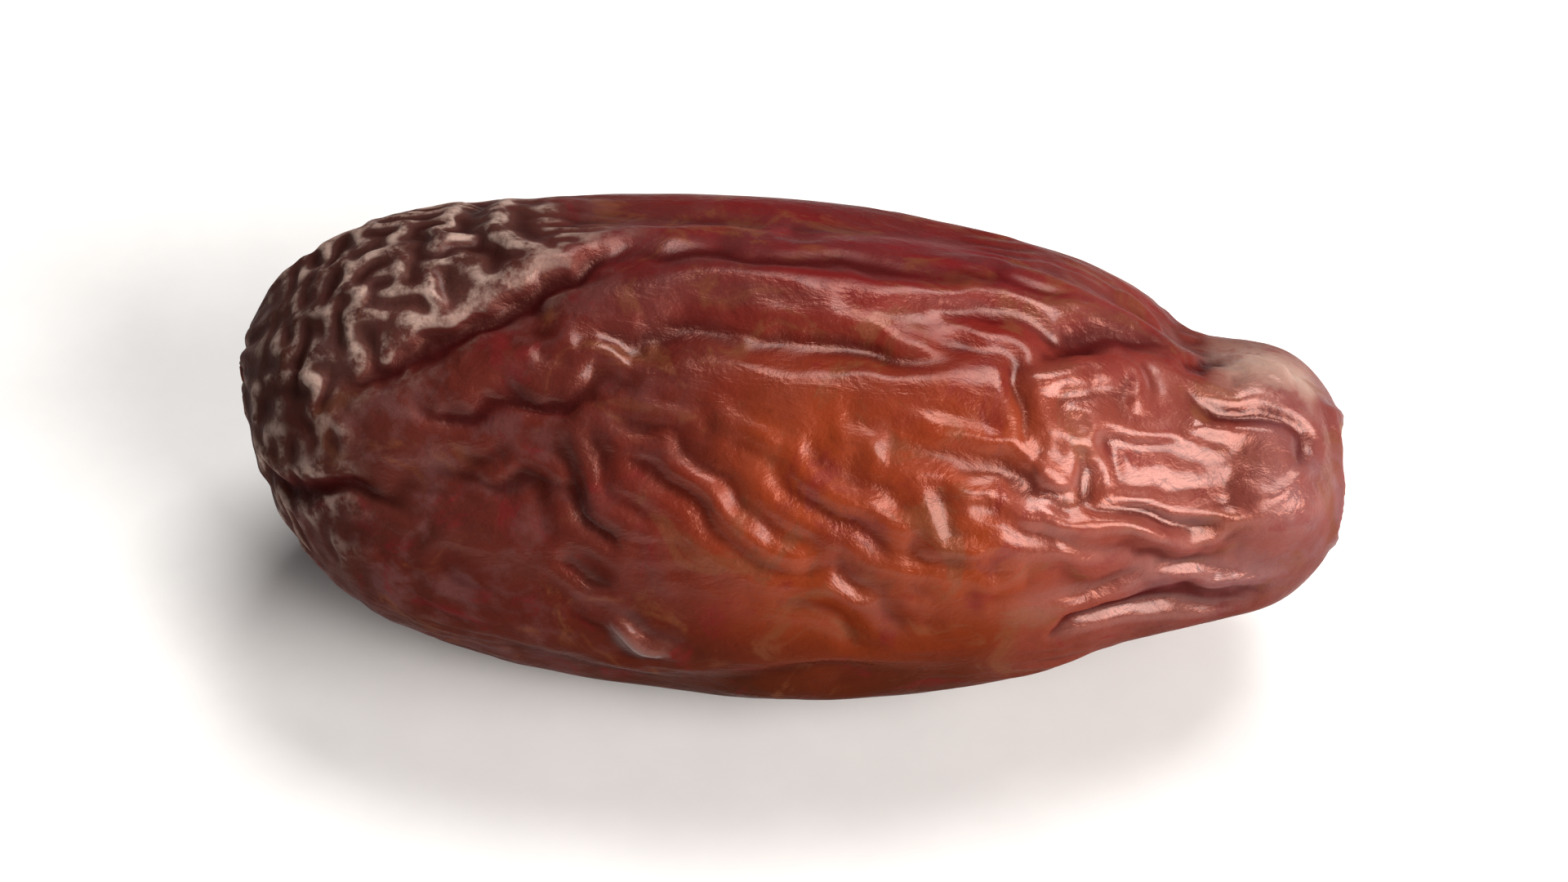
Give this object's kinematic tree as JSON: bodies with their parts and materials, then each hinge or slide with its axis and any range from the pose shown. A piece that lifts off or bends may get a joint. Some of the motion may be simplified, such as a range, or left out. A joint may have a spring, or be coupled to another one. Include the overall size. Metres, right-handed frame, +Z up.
{
  "type": "date fruit",
  "caption": "Whole dried date without its cap, lying on its side: a blunt, softly folded barrel that narrows to a shallow stem scar, with a small flat spot to rest on.",
  "frame": {"origin": "on the resting surface, under the middle of the fruit's box, inside the flat spot it rests on", "axes": "+X along the fruit from its tip to its stem end, +Z up from the surface it lies on"},
  "size_m": [0.0418, 0.019, 0.0176],
  "materials": {
    "date_skin": "wrinkled glossy red-brown skin, darker at the tip, paler at the stem end"
  },
  "bodies": {
    "root": {"date": "date_skin"}
  },
  "joints": []
}
